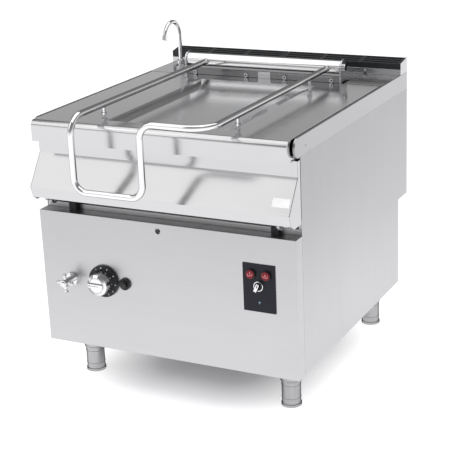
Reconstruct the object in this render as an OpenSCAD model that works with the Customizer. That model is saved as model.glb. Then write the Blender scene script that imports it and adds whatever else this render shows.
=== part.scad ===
// Tilting bratt pan: a gas-heated braising pan that pours forward over its front lip.
// The modules use x across, y back from the front panel's face and z up from the floor.
// in_frame() then moves everything so that the origin is under the middle of the whole.

/* [Cabinet] */
// Width over the side panels
body_w = 850; // [760:10:1200]
// Depth from the front panel to the back
body_d = 930; // [900:5:1000]
// Height of the worktop above the floor
worktop_h = 850; // [840:5:900]
// Height of the cabinet's underside above the floor
leg_h = 140; // [120:5:160]
// Thickness of the cabinet's steel sheet
sheet_t = 2; // [1:0.5:2.5]
// Share of the worktop's height that the front panel takes
front_panel_share = 0.5; // [0.49:0.005:0.51]
// Depth of the front panel's folded sides
front_return_d = 43; // [42:1:46]
// Height of the mouldings along the worktop's sides
moulding_h = 56; // [50:1:58]
// Width of the mouldings' folded edge
moulding_lip_w = 6; // [4:0.5:8]
// Depth of the service recess low on the back
recess_d = 84; // [60:2:100]
// Height of the service recess's ceiling
recess_top = 433; // [360:1:480]
// Depth of the flue box behind the deck
flue_d = 61; // [50:1:70]

/* [Frame] */
// Side of the square frame bars
bar_w = 30; // [25:1:36]
// Height of the front top rail
top_rail_h = 59; // [56:1:64]
// Height of the front top rail's top above the front panel
top_rail_rise = 19; // [12:1:22]
// Side of the bars that carry the burners
burner_bar_w = 20; // [15:1:24]

/* [Feet] */
// Distance of a foot's middle from the cabinet's side
foot_inset = 81; // [65:1:100]
// Distance of the front feet from the front panel
front_foot_y = 121; // [90:1:150]
// Distance of the rear feet from the cabinet's low back
rear_foot_inset = 54; // [50:1:100]
// Radius of a foot's fixed sleeve
foot_sleeve_r = 32; // [28:0.5:34]
// Length of a foot's fixed sleeve
foot_sleeve_h = 60; // [40:1:80]

/* [Pan] */
// Height of the tilt axis above the front panel
pivot_rise = 45; // [43:0.5:50]
// Distance of the tilt axis behind the front panel's face
pivot_y = 12; // [10:0.5:13]
// Distance of the vessel's side walls from the cabinet's sides
vessel_inset = 53; // [53:1:80]
// Distance of the vessel's front wall from the front panel's face
vessel_front = 34; // [32:1:40]
// Distance of the vessel's rear wall in front of the lid's rear edge
vessel_rear_gap = 8; // [8:1:30]
// Thickness of the vessel's base plate
vessel_base_t = 10; // [6:1:12]
// Thickness of the vessel's walls
vessel_wall_t = 3; // [2:0.5:4]
// Depth of the vessel's underside below the tilt axis
vessel_drop = 7; // [5:0.5:8]
// Radius of the vessel's upright corners
vessel_corner_r = 30; // [20:1:40]
// Width of the rim that runs out over the vessel's sides
rim_w = 32; // [20:1:34]
// Height of the upright strip above the apron
strip_h = 46; // [36:1:56]
// Reach of the pouring lip in front of the panel's face
lip_reach = 38; // [30:1:44]
// Height of the lip's nose above the tilt axis
lip_rise = 36; // [30:1:42]
// Diameter of the trunnion pins
trunnion_d = 20; // [14:0.5:22]

/* [Tilt drive] */
// Teeth that a full ring of the sector's radius would have
ring_teeth = 132; // [130:1:132]
// Teeth of the pinion
pinion_teeth = 12; // [12:1:14]
// Thickness of the sector plate
sector_t = 8; // [6:0.5:9]
// Tilt angle when the pan is emptied
tilt_angle = 70; // [50:1:70]
// Distance of the hand crank's axis left of the middle plane
crank_x = 14; // [12:0.5:20]
// Diameter of the crank shaft
crank_d = 16; // [12:0.5:16]
// Centre distance of the worm and its wheel
worm_offset = 40; // [38:0.5:42]

/* [Lid] */
// Gap between the lid and the mouldings' folded edges
lid_side_gap = 5; // [3:0.5:12]
// Reach of the lid in front of the panel's face
lid_reach = 22; // [15:1:30]
// Gap between the lid's rear edge and the deck
deck_gap = 4; // [3:0.5:6]
// Radius of the lid's front top edge
lid_edge_r = 18; // [10:1:24]
// Depth of the tray pressed into the lid
tray_depth = 12; // [6:1:16]
// Distance of the hinge axis in front of the flue box
hinge_inset = 144; // [140:1:150]
// Height of the hinge axis above the worktop
hinge_rise = 48; // [46:0.5:54]
// Outer radius of the hinge tube
hinge_tube_r = 22; // [18:0.5:23]
// Length of the hinge tube
hinge_tube_l = 552; // [500:4:560]

/* [Lid handle] */
// Radius of the handle's tube
handle_r = 9.5; // [8:0.25:11]
// Wall of the handle's tube
handle_wall = 1.5; // [1:0.25:2]
// Distance of the left rail from the middle plane
rail_left = 205; // [195:1:215]
// Distance of the right rail from the middle plane
rail_right = 232; // [224:1:245]
// Height of the rails' axis above the worktop
rail_rise = 45; // [40:0.5:48]
// Reach of the grab loop in front of the panel's face
loop_reach = 125; // [110:1:150]
// Distance of the grab loop's right leg from the middle plane
loop_right = 20; // [0:1:40]
// Height of the grab loop
loop_h = 215; // [180:1:225]

/* [Front controls] */
// Distance of the tap from the cabinet's left side
tap_inset = 100; // [90:1:107]
// Height of the tap's axis
tap_z = 354; // [345:1:365]
// Distance of the dial from the tap
dial_gap = 115; // [110:1:125]
// Height of the dial, and of the igniter beside it
dial_z = 362; // [355:1:370]
// Diameter of the dial
dial_d = 100; // [80:1:104]
// Diameter of the knob
knob_d = 71; // [60:1:78]
// Distance of the igniter from the dial
igniter_gap = 73; // [70:1:90]
// Diameter of the igniter's bezel
igniter_d = 37; // [32:0.5:40]
// Distance of the control plate's middle from the cabinet's right side
plate_inset = 116; // [110:1:125]
// Width of the control plate
plate_w = 101; // [90:1:110]
// Height of the control plate's lower edge
plate_z = 338; // [325:1:345]
// Height of the control plate
plate_h = 145; // [130:1:155]
// Distance between the two push buttons
button_pitch = 48; // [36:1:54]

/* [Spout] */
// Distance of the spout from the cabinet's left side
spout_inset = 77; // [65:1:85]
// Distance of the spout in front of the flue box
spout_front = 79; // [75:0.5:81]
// Radius of the spout's tube
spout_r = 7; // [6:0.25:8]
// Radius of the spout's neck along the tube's middle
spout_bend_r = 52; // [40:1:54]
// Height of the spout's straight part above the worktop
spout_h = 114; // [100:1:130]

/* [Hidden] */
// Overrun of cuts past the faces they open
over = 1;
// Gap between the plates of the welded pan
weld_gap = 0.02;
// Gap between pieces that pass each other
pass_gap = 0.3;
// Radial clearance of shafts in their bores
run_gap = 0.05;
// Gap between neighbouring panels
panel_gap = 1;
$fn = 48;

// Colours
stainless = [0.80, 0.81, 0.82];
pale_steel = [0.88, 0.88, 0.89];
zinc = [0.62, 0.63, 0.65];
chrome = [0.90, 0.91, 0.93];
black = [0.08, 0.08, 0.09];
red = [0.55, 0.05, 0.07];
bronze = [0.72, 0.52, 0.25];
brass = [0.80, 0.66, 0.33];
grey_paint = [0.35, 0.37, 0.40];

// Planes shared by the cabinet's pieces
half_w = body_w / 2;
inner_x = half_w - sheet_t;
front_panel_h = worktop_h * front_panel_share;
panel_top = leg_h + front_panel_h;
side_top = worktop_h - moulding_h;
floor_top = leg_h + sheet_t;
rail_top = panel_top + top_rail_rise;
rail_base = rail_top - top_rail_h;
rail_front = front_return_d + sheet_t;
rail_back = rail_front + bar_w;
back_low = body_d - recess_d;
deck_under = worktop_h - sheet_t;
flue_front = body_d - flue_d;
hinge_y = flue_front - hinge_inset;
channel_half_d = 21;
deck_front = hinge_y - channel_half_d;
lid_rear = deck_front - deck_gap;
vessel_rear = lid_rear - vessel_rear_gap;
lid_w = body_w - 2 * (moulding_lip_w + lid_side_gap);
spout_x = half_w - spout_inset;
spout_y = flue_front - spout_front;
tap_x = half_w - tap_inset;
dial_x = tap_x - dial_gap;
igniter_x = dial_x - igniter_gap;
plate_x = half_w - plate_inset;
foot_x = half_w - foot_inset;
rear_foot_y = back_low - rear_foot_inset;
frame_x = inner_x - bar_w;
side_flange = 8;

// Planes shared by the pan's pieces
pivot_z = panel_top + pivot_rise;
base_under = pivot_z - vessel_drop;
base_over = base_under + vessel_base_t;
rim_drop = 8;
rim_top = side_top - rim_drop;
vessel_x = half_w - vessel_inset;
skirt_under = base_under - sheet_t;
strip_y = 26;
lip_nose_y = -27;
lip_nose_rise = 3;
lip_heel_y = -8;
apron_back = 60;
cheek_gap = 3;
cheek_back = front_return_d - cheek_gap;

// The whole reaches from the grab loop to the back, and this puts its middle at the origin
reach_front = loop_reach + handle_r;
middle_y = (body_d - reach_front) / 2;

module in_frame() {
    translate([0, -middle_y, 0]) children();
}

// A block between two corners
module block(low, high) {
    translate(low) cube(high - low);
}

// Round bars along x, y and z between two ends
module rod_x(x0, x1, y, z, r) {
    translate([x0, y, z]) rotate([0, 90, 0]) cylinder(h = x1 - x0, r = r);
}
module rod_y(y0, y1, x, z, r) {
    translate([x, y1, z]) rotate([90, 0, 0]) cylinder(h = y1 - y0, r = r);
}
module rod_z(z0, z1, x, y, r) {
    translate([x, y, z0]) cylinder(h = z1 - z0, r = r);
}

// Outlines drawn in the y-z plane, pushed along x, and in the x-z plane, pushed along y
module push_x(x0, x1) {
    translate([x0, 0, 0]) rotate([90, 0, 90]) linear_extrude(x1 - x0) children();
}
module push_y(y0, y1) {
    translate([0, y1, 0]) rotate([90, 0, 0]) linear_extrude(y1 - y0) children();
}

// Copies on the left and the right
module both_sides() {
    children();
    mirror([1, 0, 0]) children();
}

// A folded sheet: the path gives one face, and the sheet lies to the left of it
function unit(v) = v / norm(v);
function left_of(a, b) = let(d = unit(b - a)) [-d[1], d[0]];
function mitre(p, i, t) =
    let(last = len(p) - 1)
    let(before = i == 0 ? left_of(p[0], p[1]) : left_of(p[i - 1], p[i]))
    let(after = i == last ? before : left_of(p[i], p[i + 1]))
    let(sum = before + after)
    p[i] + sum * (2 * t / (sum * sum));
function folded(p, t) = concat(p, [for (i = [len(p) - 1 : -1 : 0]) mitre(p, i, t)]);

// A bent tube or rod along straight runs, with a round bend of the given radius at each corner
axis_share = 0.9;
function across(d) = abs(d[2]) < axis_share ? unit(cross([0, 0, 1], d)) : unit(cross([1, 0, 0], d));
function turn_at(p, i) = acos(unit(p[i] - p[i - 1]) * unit(p[i + 1] - p[i]));
function trim_at(p, bends, i) = (i == 0 || i == len(p) - 1) ? 0 : bends[i - 1] * tan(turn_at(p, i) / 2);
module aligned(at, ex, ey, ez) {
    multmatrix([
        [ex[0], ey[0], ez[0], at[0]],
        [ex[1], ey[1], ez[1], at[1]],
        [ex[2], ey[2], ez[2], at[2]],
        [0, 0, 0, 1]
    ]) children();
}
module bent_rod(p, bends, r) {
    for (i = [0 : len(p) - 2]) {
        d = unit(p[i + 1] - p[i]);
        start = p[i] + d * trim_at(p, bends, i);
        end = p[i + 1] - d * trim_at(p, bends, i + 1);
        ex = across(d);
        aligned(start, ex, cross(d, ex), d) cylinder(h = norm(end - start), r = r);
    }
    for (i = [1 : len(p) - 2]) {
        u = unit(p[i] - p[i - 1]);
        w = unit(p[i + 1] - p[i]);
        n = unit(w - u * (u * w));
        centre = p[i] - u * trim_at(p, bends, i) + n * bends[i - 1];
        aligned(centre, -n, u, cross(-n, u))
            rotate_extrude(angle = turn_at(p, i)) translate([bends[i - 1], 0]) circle(r = r);
    }
}

// A slab with round upright corners
module rounded_slab(low, high, r) {
    block(low + [r, 0, 0], high - [r, 0, 0]);
    block(low + [0, r, 0], high - [0, r, 0]);
    for (x = [low[0] + r, high[0] - r])
        for (y = [low[1] + r, high[1] - r])
            rod_z(low[2], high[2], x, y, r);
}

// A square steel tube between two corners, open at its ends
bar_wall = 2.5;
module tube_bar(low, high) {
    size = high - low;
    along = size[0] > size[1] && size[0] > size[2] ? [1, 0, 0] : size[1] > size[2] ? [0, 1, 0] : [0, 0, 1];
    inside = ([1, 1, 1] - along) * bar_wall;
    difference() {
        block(low, high);
        block(low + inside - along * over, high - inside + along * over);
    }
}

// Frame bars
burner_drop = 48;
burner_z = base_under - burner_drop;
burner_r = 20;
burner_bar_top = burner_z - burner_r;
rear_bar_back = back_low - sheet_t;
rear_bar_front = rear_bar_back - bar_w;
crank_drop = 23;
crank_z = panel_top - crank_drop;
gearbox_drop = 87;
gearbox_under = crank_z - gearbox_drop;

// Gears: the module is a share of the cabinet's depth, and the pinion lies behind the sector
gear_share = 1 / 155;
gear_m = body_d * gear_share;
wheel_z = crank_z - worm_offset;
ring_r = gear_m * ring_teeth / 2;
pinion_r = gear_m * pinion_teeth / 2;
pinion_angle = asin((pivot_z - wheel_z) / (ring_r + pinion_r));
pinion_y = pivot_y + (ring_r + pinion_r) * cos(pinion_angle);
drive_bar_gap = 25;
drive_bar_y = pinion_y - drive_bar_gap;
drive_bar_d = 60;
mid_upright_y = drive_bar_y + drive_bar_d / 4;

burner_bar_ys = [120, 580];
burner_bar_in = 60;

module frame_uprights() {
    color(zinc) both_sides() {
        tube_bar([frame_x, rail_front, floor_top + bar_w], [inner_x, rail_back, rail_base]);
        tube_bar([frame_x, rear_bar_front, floor_top + bar_w], [inner_x, rear_bar_back, deck_under]);
        tube_bar([frame_x, mid_upright_y, floor_top + bar_w],
              [inner_x, mid_upright_y + bar_w, burner_bar_top - bar_w]);
    }
}

module frame_side_rails() {
    color(zinc) both_sides() {
        tube_bar([frame_x, rail_front, floor_top], [inner_x, rear_bar_back, floor_top + bar_w]);
        tube_bar([frame_x, rail_back, burner_bar_top - bar_w], [inner_x, rear_bar_front, burner_bar_top]);
    }
}

module frame_cross_rails() {
    color(zinc) {
        tube_bar([-frame_x, rail_front, floor_top], [frame_x, rail_back, floor_top + bar_w]);
        tube_bar([-frame_x, rear_bar_front, floor_top], [frame_x, rear_bar_back, floor_top + bar_w]);
        tube_bar([-frame_x, rear_bar_front, deck_under - bar_w], [frame_x, rear_bar_back, deck_under]);
        tube_bar([-frame_x, drive_bar_y, gearbox_under - bar_w],
              [frame_x, drive_bar_y + drive_bar_d, gearbox_under]);
        both_sides() for (y = burner_bar_ys)
            tube_bar([burner_bar_in, y, burner_bar_top - burner_bar_w], [frame_x, y + burner_bar_w, burner_bar_top]);
    }
}

// The rail above the front panel carries the pan's pivots, and the crank shaft turns in its bore
crank_r = crank_d / 2;
module front_top_rail() {
    color(pale_steel) difference() {
        tube_bar([-inner_x, rail_front, rail_base], [inner_x, rail_back, rail_top]);
        rod_y(rail_front - over, rail_back + over, -crank_x, crank_z, crank_r + run_gap);
    }
}

// Cabinet sheets
air_slot_w = 300;
air_slot_d = 30;
air_slot_shares = [0.22, 0.32, 0.42, 0.64, 0.74, 0.84];
module bottom_panel() {
    color(stainless) difference() {
        block([-inner_x, rail_front, leg_h], [inner_x, rear_bar_back, floor_top]);
        both_sides() for (share = air_slot_shares)
            block([bar_w, rear_bar_front * share, leg_h - over],
                  [bar_w + air_slot_w, rear_bar_front * share + air_slot_d, floor_top + over]);
    }
}

module right_side() {
    push_x(inner_x, half_w) polygon([
        [front_return_d + panel_gap, leg_h],
        [back_low, leg_h],
        [back_low, recess_top],
        [body_d, recess_top],
        [body_d, side_top],
        [front_return_d + panel_gap, side_top]
    ]);
    block([inner_x - side_flange, front_return_d + panel_gap, rail_top + panel_gap],
          [inner_x, rail_front, side_top]);
}

module left_side_panel() {
    color(stainless) mirror([1, 0, 0]) right_side();
}

module right_side_panel() {
    color(stainless) right_side();
}

tap_hole_r = 13;
dial_hole_r = 7;
crank_hole_r = 8.5;
barrel_r = 11;
igniter_barrel_r = 14;
hole_gap = 0.2;
button_rise = 114;
selector_rise = 80;
button_z = plate_z + button_rise;
selector_z = plate_z + selector_rise;
switch_places = [
    [plate_x - button_pitch / 2, button_z],
    [plate_x + button_pitch / 2, button_z],
    [plate_x, selector_z]
];

module front_panel() {
    color(stainless) difference() {
        block([-half_w, 0, leg_h], [half_w, front_return_d, panel_top]);
        block([-inner_x, sheet_t, floor_top], [inner_x, front_return_d + over, panel_top - sheet_t]);
        rod_y(-over, sheet_t + over, -tap_x, tap_z, tap_hole_r + hole_gap);
        rod_y(-over, sheet_t + over, -dial_x, dial_z, dial_hole_r);
        rod_y(-over, sheet_t + over, -igniter_x, dial_z, igniter_barrel_r + hole_gap);
        rod_y(-over, sheet_t + over, -crank_x, crank_z, crank_hole_r);
        for (p = switch_places)
            rod_y(-over, sheet_t + over, p[0], p[1], barrel_r + hole_gap);
    }
}

inlet_pitch = 55;
gas_in_x = tap_x - inlet_pitch;
inlet_z = 190;
inlet_r = 10.5;
inlet_pipe_r = 9;
inlet_hole_r = 13;
inlet_bore_r = 7;
inlet_bore_l = 30;
module rear_panel() {
    color(stainless) difference() {
        push_x(-inner_x, inner_x) polygon(folded([
            [back_low, leg_h],
            [back_low, recess_top],
            [body_d, recess_top],
            [body_d, deck_under]
        ], sheet_t));
        for (x = [-gas_in_x, -tap_x])
            rod_y(rear_bar_back - over, back_low + over, x, inlet_z, inlet_hole_r);
    }
}

// The mouldings have a round nose in front and a folded edge all round
nose_r = 30;
nose_y = 36;
screw_y = 81;
screw_drop = 32;
screw_hole_r = 2.5;
module moulding_outline(x0, x1, shrink) {
    mid_z = worktop_h - moulding_h / 2;
    block([x0, nose_y, side_top - (shrink > 0 ? over : 0)],
          [x1, body_d + (shrink > 0 ? over : 0), worktop_h - shrink]);
    intersection() {
        rod_x(x0, x1, nose_y, mid_z, nose_r - shrink);
        block([x0, nose_y - nose_r, side_top - (shrink > 0 ? over : 0)],
              [x1, nose_y + nose_r, worktop_h - shrink]);
    }
}
module right_moulding_form() {
    difference() {
        moulding_outline(half_w - moulding_lip_w, half_w, 0);
        moulding_outline(half_w - moulding_lip_w - over, inner_x, sheet_t);
        rod_x(inner_x - over, half_w + over, screw_y, worktop_h - screw_drop, screw_hole_r);
    }
}

module left_moulding() {
    color(stainless) mirror([1, 0, 0]) right_moulding_form();
}

module right_moulding() {
    color(stainless) right_moulding_form();
}

notch_w = 580;
notch_behind = 35;
notch_back = hinge_y + notch_behind;
deck_fold = 20;
module rear_deck() {
    deck_x = half_w - moulding_lip_w;
    color(stainless) difference() {
        union() {
            block([-deck_x, deck_front, deck_under], [deck_x, flue_front, worktop_h]);
            block([-deck_x, deck_front, worktop_h - deck_fold], [deck_x, deck_front + sheet_t, worktop_h]);
            block([-notch_w / 2 - sheet_t, deck_front, worktop_h - deck_fold],
                  [notch_w / 2 + sheet_t, notch_back + sheet_t, worktop_h]);
        }
        block([-notch_w / 2, deck_front - over, worktop_h - deck_fold - over],
              [notch_w / 2, notch_back, worktop_h + over]);
        rod_z(worktop_h - deck_fold - over, worktop_h + over, -spout_x, spout_y, pipe_r + hole_gap);
    }
}

// Flue box with its two black grilles
flue_base_h = 19;
grille_front_h = 19;
grille_rise = 10;
grille_wall = 3;
grille_gap = 1;
grille_windows = 3;
grille_rib_w = 6;
slot_w = 9;
slot_pitch = 18;
slot_count = 3;
flue_top = worktop_h + flue_base_h;
grille_x = inner_x - panel_gap;
module flue_outline(grow) {
    polygon([
        [flue_front, flue_top],
        [flue_front, flue_top + grille_front_h + grow],
        [body_d, flue_top + grille_front_h + grille_rise + grow],
        [body_d, flue_top]
    ]);
}
module flue_body() {
    color(stainless) {
        block([-half_w, flue_front, worktop_h], [half_w, flue_front + sheet_t, flue_top]);
        block([-half_w, body_d - sheet_t, worktop_h], [half_w, body_d, flue_top]);
        block([moulding_lip_w - half_w, body_d - sheet_t, deck_under],
              [half_w - moulding_lip_w, body_d, worktop_h]);
        both_sides() {
            block([inner_x, flue_front, worktop_h], [half_w, body_d, flue_top]);
            push_x(inner_x, half_w) flue_outline(sheet_t);
        }
    }
}
module flue_grille() {
    span = grille_x - grille_gap;
    window_w = (span - grille_wall) / grille_windows;
    difference() {
        push_x(grille_gap, grille_x) flue_outline(0);
        for (i = [0 : grille_windows - 1])
            push_x(grille_gap + grille_wall + i * window_w, grille_gap + (i + 1) * window_w) polygon([
                [flue_front + grille_wall, flue_top - over],
                [flue_front + grille_wall, flue_top + grille_front_h - grille_wall],
                [body_d - grille_wall, flue_top + grille_front_h + grille_rise - 2 * grille_wall],
                [body_d - grille_wall, flue_top - over]
            ]);
        for (i = [0 : grille_windows - 1])
            for (k = [0 : slot_count - 1])
                block([grille_gap + grille_wall + i * window_w + grille_rib_w,
                       flue_front + slot_w + k * slot_pitch, flue_top + over],
                      [grille_gap + (i + 1) * window_w - grille_rib_w,
                       flue_front + 2 * slot_w + k * slot_pitch,
                       flue_top + grille_front_h + grille_rise + over]);
    }
}
module left_flue_grille() {
    color(black) mirror([1, 0, 0]) flue_grille();
}
module right_flue_grille() {
    color(black) flue_grille();
}

// Feet: a fixed sleeve and a screw foot whose stem turns in it
foot_r = 29;
foot_base_r = 31;
foot_base_h = 8;
stem_r = 12;
foot_gap = 0.5;
sleeve_base = leg_h - foot_sleeve_h;
module foot_sleeves() {
    color(stainless) both_sides() for (y = [front_foot_y, rear_foot_y]) difference() {
        rod_z(sleeve_base, leg_h, foot_x, y, foot_sleeve_r);
        rod_z(sleeve_base - over, leg_h - sheet_t, foot_x, y, stem_r + run_gap);
    }
}
module foot_at(x, y) {
    color(stainless) {
        rod_z(0, foot_base_h, x, y, foot_base_r);
        rod_z(foot_base_h, sleeve_base - foot_gap, x, y, foot_r);
        rod_z(sleeve_base - foot_gap, leg_h - sheet_t - foot_gap, x, y, stem_r);
    }
}
module front_left_foot() {
    foot_at(-foot_x, front_foot_y);
}
module front_right_foot() {
    foot_at(foot_x, front_foot_y);
}
module rear_left_foot() {
    foot_at(-foot_x, rear_foot_y);
}
module rear_right_foot() {
    foot_at(foot_x, rear_foot_y);
}

// Pivots of the pan: a bracket on the top rail, a bronze bush in it, and the arm's pin
bracket_gap = 18;
bracket_in = vessel_x + bracket_gap;
bracket_t = 10;
bracket_nose_r = 16;
bush_wall = 3;
trunnion_r = trunnion_d / 2;
bush_r = trunnion_r + bush_wall;
module pivot_brackets() {
    color(zinc) both_sides() difference() {
        union() {
            rod_x(bracket_in, bracket_in + bracket_t, pivot_y, pivot_z, bracket_nose_r);
            block([bracket_in, pivot_y, pivot_z - bracket_nose_r],
                  [bracket_in + bracket_t, rail_back, pivot_z + bracket_nose_r]);
            block([bracket_in, rail_front, rail_top],
                  [bracket_in + bracket_t, rail_back, pivot_z]);
        }
        rod_x(bracket_in - over, bracket_in + bracket_t + over, pivot_y, pivot_z, bush_r);
    }
}
module pivot_bushes() {
    color(bronze) both_sides() difference() {
        rod_x(bracket_in, bracket_in + bracket_t, pivot_y, pivot_z, bush_r);
        rod_x(bracket_in - over, bracket_in + bracket_t + over, pivot_y, pivot_z, trunnion_r + run_gap);
    }
}

// Rubber stops on the front panel's top, under the pan's front
stop_w = 23;
stop_d = 18;
stop_front = 24;
left_stop_inset = 104;
right_stop_inset = 75;
module pan_stops() {
    color(black) for (x = [left_stop_inset - half_w, half_w - right_stop_inset])
        block([x - stop_w / 2, stop_front, panel_top],
              [x + stop_w / 2, stop_front + stop_d, skirt_under - pass_gap]);
}

// Gas side
burner_front = 110;
burner_rear_inset = 82;
burner_back = vessel_rear - burner_rear_inset;
burner_wall = 1.5;
burner_xs = [150, 290];
port_w = 4;
port_pitch = 40;
manifold_inset = 47;
manifold_y = vessel_rear - manifold_inset;
manifold_r = 13;
injector_r = 5;
module burner_tubes() {
    color(stainless) both_sides() for (x = burner_xs) difference() {
        rod_y(burner_front, burner_back, x, burner_z, burner_r);
        rod_y(burner_front + burner_wall, burner_back + over, x, burner_z, burner_r - burner_wall);
        for (y = [burner_front + port_pitch : port_pitch : burner_back - port_pitch])
            block([x - burner_r / 2, y, burner_z], [x + burner_r / 2, y + port_w, burner_z + burner_r + over]);
    }
}

valve_w = 56;
valve_front = 20;
valve_back = 90;
valve_half_h = 28;
valve_neck_r = 14;
spindle_r = 5;
inlet_inset = 56;
inlet_back = body_d - inlet_inset;
pipe_bend = 30;
pipe_r = 8;
gas_turn_y = 55;
module gas_pipework() {
    color(brass) difference() {
        gas_pipes();
        rod_y(inlet_back - inlet_bore_l, inlet_back + over, -gas_in_x, inlet_z, inlet_bore_r);
    }
}
module gas_pipes() {
    union() {
        bent_rod([
            [-gas_in_x, inlet_back, inlet_z],
            [-gas_in_x, gas_turn_y, inlet_z],
            [-dial_x, gas_turn_y, inlet_z],
            [-dial_x, gas_turn_y, dial_z - valve_half_h]
        ], [pipe_bend, pipe_bend], inlet_pipe_r);
        rod_y(back_low, inlet_back, -gas_in_x, inlet_z, inlet_r);
        bent_rod([
            [-dial_x, valve_back, dial_z],
            [-dial_x, manifold_y, dial_z],
            [-dial_x, manifold_y, burner_z]
        ], [pipe_bend], inlet_pipe_r);
        rod_x(-burner_xs[1] - manifold_r, burner_xs[1] + manifold_r, manifold_y, burner_z, manifold_r);
        both_sides() for (x = burner_xs)
            rod_y(burner_back - port_pitch, manifold_y, x, burner_z, injector_r);
    }
}
module gas_valve() {
    color(brass) difference() {
        union() {
            block([-dial_x - valve_w / 2, valve_front, dial_z - valve_half_h],
                  [-dial_x + valve_w / 2, valve_back, dial_z + valve_half_h]);
            rod_y(sheet_t, valve_front, -dial_x, dial_z, valve_neck_r);
        }
        rod_y(sheet_t - over, valve_front + spindle_depth, -dial_x, dial_z, spindle_r + run_gap);
    }
}
spindle_depth = 12;
dial_t = 8;
module dial_plate() {
    color(black) difference() {
        rod_y(-dial_t, 0, -dial_x, dial_z, dial_d / 2);
        rod_y(-dial_t - over, over, -dial_x, dial_z, spindle_r + run_gap);
    }
}

// Igniter with its sprung button
igniter_bezel_t = 7;
igniter_button_r = 11;
igniter_body_l = 45;
button_gap = 0.1;
igniter_travel = 4;
igniter_out = 15;
igniter_in = 10;
module igniter_body() {
    color(black) difference() {
        union() {
            rod_y(-igniter_bezel_t, 0, -igniter_x, dial_z, igniter_d / 2);
            rod_y(0, igniter_body_l, -igniter_x, dial_z, igniter_barrel_r);
        }
        rod_y(-igniter_bezel_t - over, igniter_in + igniter_travel + pass_gap,
              -igniter_x, dial_z, igniter_button_r + button_gap);
    }
}
module igniter_button() {
    color(black) rod_y(-igniter_out, igniter_in, -igniter_x, dial_z, igniter_button_r);
}

// Water side: the tap's valve, its pipes and the swivel spout on the deck
escutcheon_r = 20;
escutcheon_t = 5;
tap_neck_r = 10;
tap_neck_l = 30;
tap_back = 60;
tap_body_r = 16;
tap_hub_r = 11;
tap_hub_l = 22;
tap_arm_r = 4.5;
tap_arm_l = 24;
tap_tip_r = 6;
tap_bore = 14;
riser_step_y = 140;
step_bend = (spout_x - tap_x) / 2;
module water_valve() {
    color(chrome) difference() {
        union() {
            rod_y(-escutcheon_t, 0, -tap_x, tap_z, escutcheon_r);
            rod_y(-tap_neck_l, -escutcheon_t, -tap_x, tap_z, tap_neck_r);
            rod_y(0, sheet_t, -tap_x, tap_z, tap_hole_r);
            rod_y(sheet_t, tap_back, -tap_x, tap_z, tap_body_r);
        }
        rod_y(-tap_neck_l - over, -tap_neck_l + tap_bore + pass_gap, -tap_x, tap_z, spindle_r + run_gap);
    }
}
module tap_handle() {
    hub_back = -tap_neck_l - pass_gap;
    hub_y = hub_back - tap_hub_l / 2;
    color(chrome) {
        rod_y(hub_back - tap_hub_l, hub_back, -tap_x, tap_z, tap_hub_r);
        rod_y(hub_back, -tap_neck_l + tap_bore, -tap_x, tap_z, spindle_r);
        translate([-tap_x, hub_y, tap_z]) for (turn = [0, 90, 180, 270]) rotate([0, turn, 0]) {
            rod_x(0, tap_arm_l, 0, 0, tap_arm_r);
            translate([tap_arm_l, 0, 0]) sphere(r = tap_tip_r);
        }
    }
}
module water_pipework() {
    color(stainless) difference() {
        water_pipes();
        rod_y(inlet_back - inlet_bore_l, inlet_back + over, -tap_x, inlet_z, inlet_bore_r);
    }
}
module water_pipes() {
    union() {
        bent_rod([
            [-tap_x, inlet_back, inlet_z],
            [-tap_x, tap_back - tap_body_r, inlet_z],
            [-tap_x, tap_back - tap_body_r, tap_z - tap_body_r]
        ], [pipe_bend], inlet_pipe_r);
        rod_y(back_low, inlet_back, -tap_x, inlet_z, inlet_r);
        bent_rod([
            [-tap_x, tap_back, tap_z],
            [-tap_x, riser_step_y, tap_z],
            [-spout_x, riser_step_y, tap_z],
            [-spout_x, spout_y, tap_z],
            [-spout_x, spout_y, worktop_h]
        ], [step_bend, step_bend, pipe_bend], pipe_r);
    }
}
spout_flange_r = 20;
spout_flange_t = 8;
spout_neck_r = 12;
spout_neck_h = 25;
spout_angle = 165;
nozzle_r = 9;
nozzle_l = 16;
nozzle_lap = 2;
module spout_base() {
    color(chrome) difference() {
        union() {
            rod_z(worktop_h, worktop_h + spout_flange_t, -spout_x, spout_y, spout_flange_r);
            rod_z(worktop_h, worktop_h + spout_neck_h, -spout_x, spout_y, spout_neck_r);
        }
        rod_z(worktop_h + sheet_t, worktop_h + spout_neck_h + over, -spout_x, spout_y, spout_r + run_gap);
    }
}
module spout() {
    neck_z = worktop_h + spout_h;
    color(chrome) {
        rod_z(worktop_h + sheet_t + pass_gap, neck_z, -spout_x, spout_y, spout_r);
        translate([-spout_x, spout_y - spout_bend_r, neck_z]) rotate([90, 0, 90]) {
            rotate_extrude(angle = spout_angle) translate([spout_bend_r, 0]) circle(r = spout_r);
            rotate([0, 0, spout_angle]) translate([spout_bend_r, -nozzle_lap, 0]) rotate([-90, 0, 0])
                cylinder(h = nozzle_l, r = nozzle_r);
        }
    }
}

// Knob
knob_front = 48;
knob_gap = 1;
knob_edge = 5;
knob_grip_w = 12;
knob_grip_out = 5;
module control_knob() {
    knob_r = knob_d / 2;
    knob_back = -dial_t - knob_gap;
    color(chrome) {
        translate([-dial_x, knob_back, dial_z]) rotate([90, 0, 0]) rotate_extrude() polygon([
            [0, 0],
            [knob_r, 0],
            [knob_r - knob_edge / 2, knob_front + knob_back - knob_edge],
            [knob_r - 2 * knob_edge, knob_front + knob_back],
            [0, knob_front + knob_back]
        ]);
        block([-dial_x - knob_r + 2 * knob_edge, -knob_front - knob_grip_out, dial_z - knob_grip_w / 2],
              [-dial_x + knob_r - 2 * knob_edge, -knob_front, dial_z + knob_grip_w / 2]);
        rod_y(knob_back, valve_front + spindle_depth - pass_gap, -dial_x, dial_z, spindle_r);
    }
}

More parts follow.
